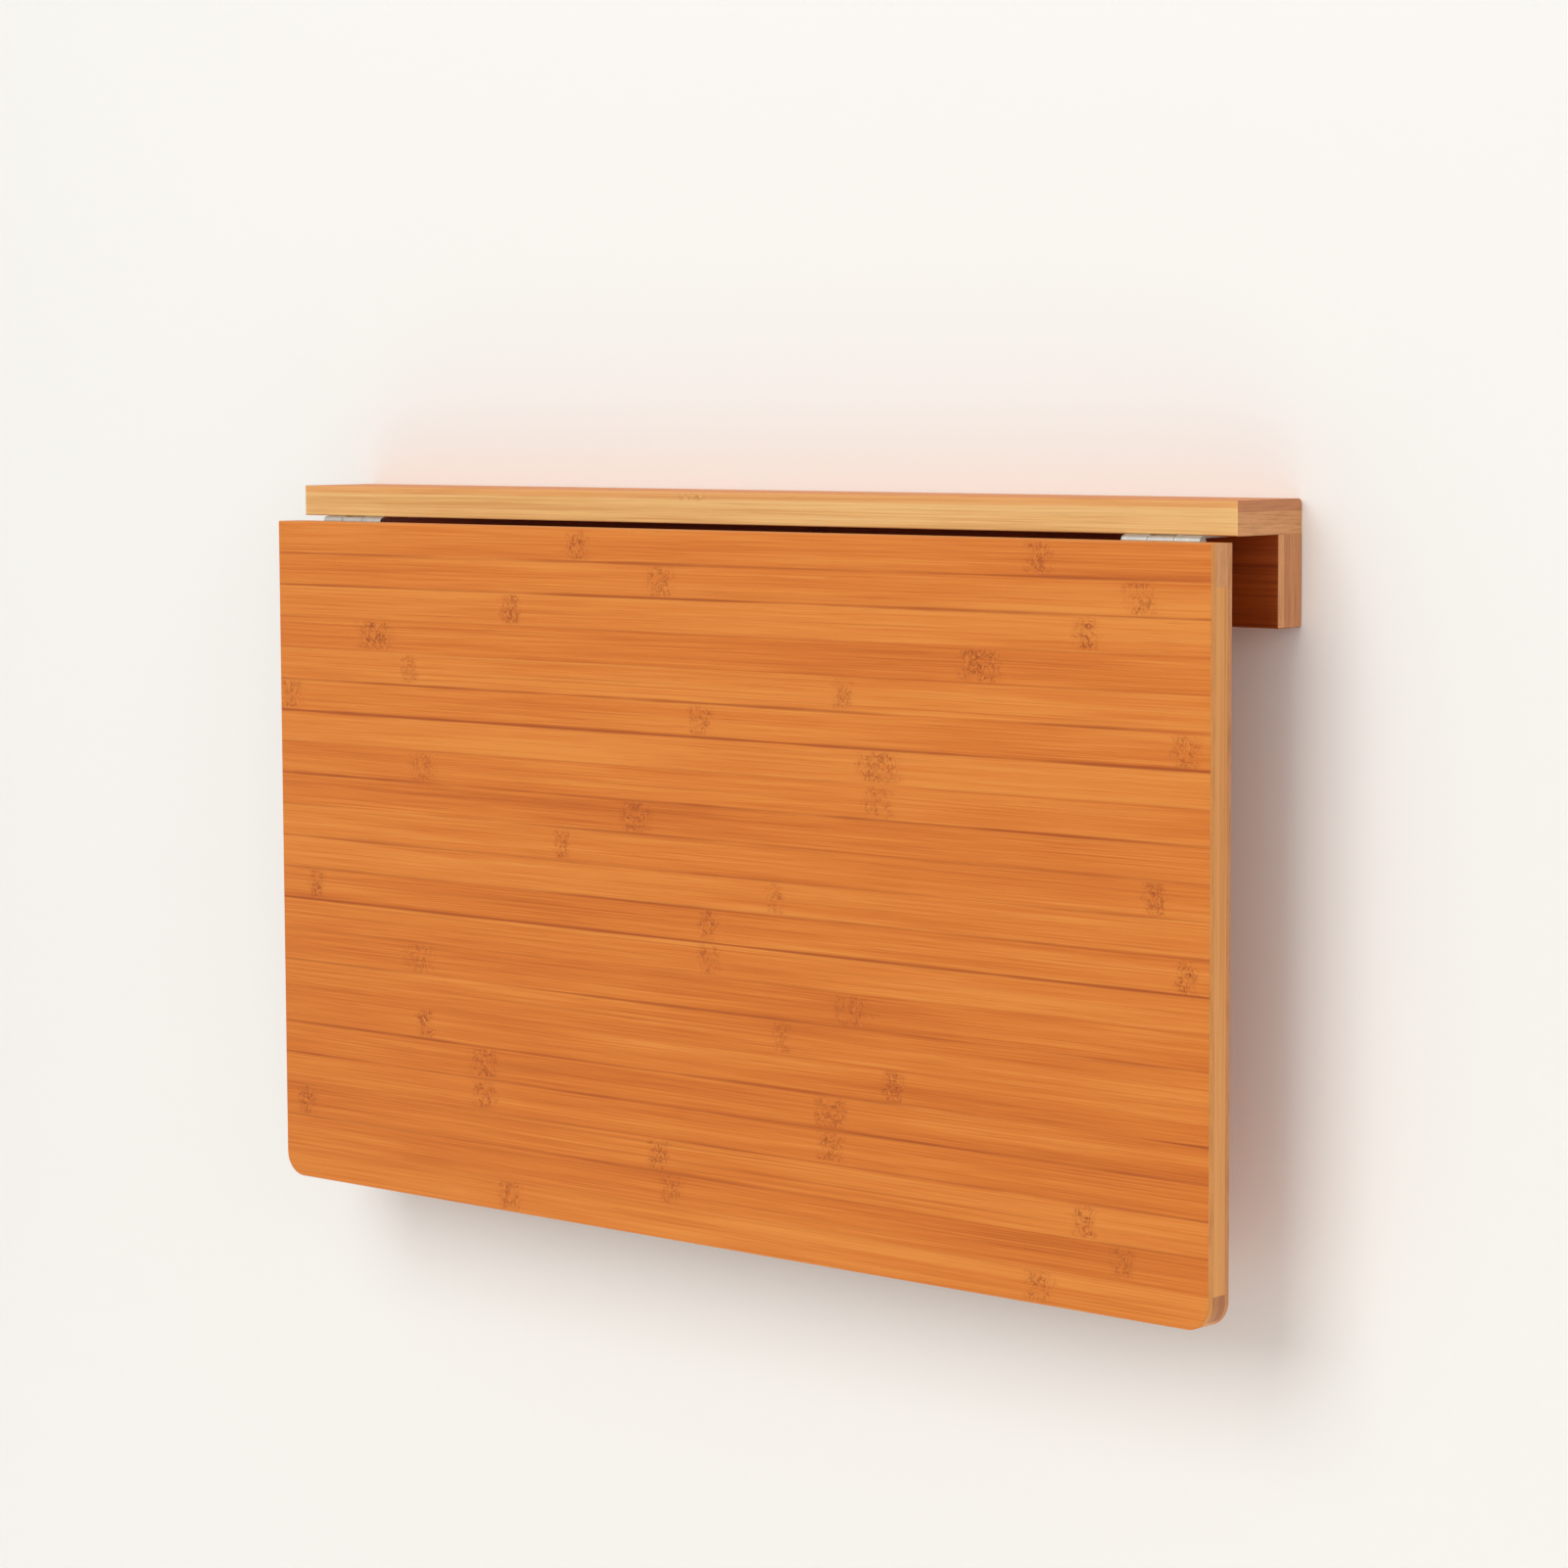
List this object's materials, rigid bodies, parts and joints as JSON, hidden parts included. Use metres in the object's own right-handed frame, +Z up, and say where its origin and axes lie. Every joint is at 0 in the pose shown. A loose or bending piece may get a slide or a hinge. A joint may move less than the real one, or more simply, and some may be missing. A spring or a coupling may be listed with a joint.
{
  "type": "wall mounted drop leaf table",
  "caption": "Bamboo wall table, folded: a narrow fixed shelf on a wall rail, with a hinged leaf that hangs down and is propped level by a frame on its back.",
  "frame": {"origin": "on the wall plane, at the middle of the row of wall screw holes in the rail's back face", "axes": "+X along the wall to the right, +Y into the wall, +Z up"},
  "size_m": [0.7, 0.077, 0.421],
  "materials": {
    "bamboo_amber": "satin lacquer",
    "bamboo_pale": "satin lacquer",
    "dowel_wood": "plain",
    "hinge_steel": "zinc plated",
    "screw_steel": "zinc plated",
    "rubber": "matte"
  },
  "bodies": {
    "wall_unit": {"wall_rail": "bamboo_amber", "shelf_board": "bamboo_pale", "shelf_dowels": "dowel_wood", "rest_block_left": "bamboo_amber", "rest_block_right": "bamboo_amber", "rest_block_dowels": "dowel_wood", "rest_pad_left": "rubber", "rest_pad_right": "rubber", "hinge_plate_fixed_left": "hinge_steel", "hinge_plate_fixed_right": "hinge_steel", "fixed_plate_screws": "screw_steel", "hinge_pin_left": "hinge_steel", "hinge_pin_right": "hinge_steel"},
    "leaf": {"leaf_face_layer": "bamboo_amber", "leaf_back_layer": "bamboo_amber", "leaf_hinge_strip": "bamboo_pale", "leaf_free_strip": "bamboo_pale", "leaf_end_strip_left": "bamboo_pale", "leaf_end_strip_right": "bamboo_pale", "leaf_core": "bamboo_amber", "hinge_plate_moving_left": "hinge_steel", "hinge_plate_moving_right": "hinge_steel", "moving_plate_screws": "screw_steel", "pivot_bracket_left": "hinge_steel", "pivot_bracket_right": "hinge_steel", "pivot_bracket_screws": "screw_steel", "pivot_pin_left": "hinge_steel", "pivot_pin_right": "hinge_steel"},
    "prop_frame": {"prop_arm_left": "bamboo_amber", "prop_arm_right": "bamboo_amber", "prop_foot_rod": "bamboo_amber", "prop_sleeve_left": "rubber", "prop_sleeve_right": "rubber"}
  },
  "joints": [
    {"name": "leaf_hinge", "type": "hinge", "parent": "wall_unit", "child": "leaf", "pos_m": [0, -0.056, 0.021], "axis": [-1, 0, 0], "range_deg": [0, 90]},
    {"name": "prop_pivot", "type": "hinge", "parent": "leaf", "child": "prop_frame", "pos_m": [0, -0.046, -0.129], "axis": [1, 0, 0], "range_deg": [0, 171.91]}
  ],
  "couplings": [
    {"joint": "prop_pivot", "follows": "leaf_hinge", "ratio": 1.9095}
  ]
}
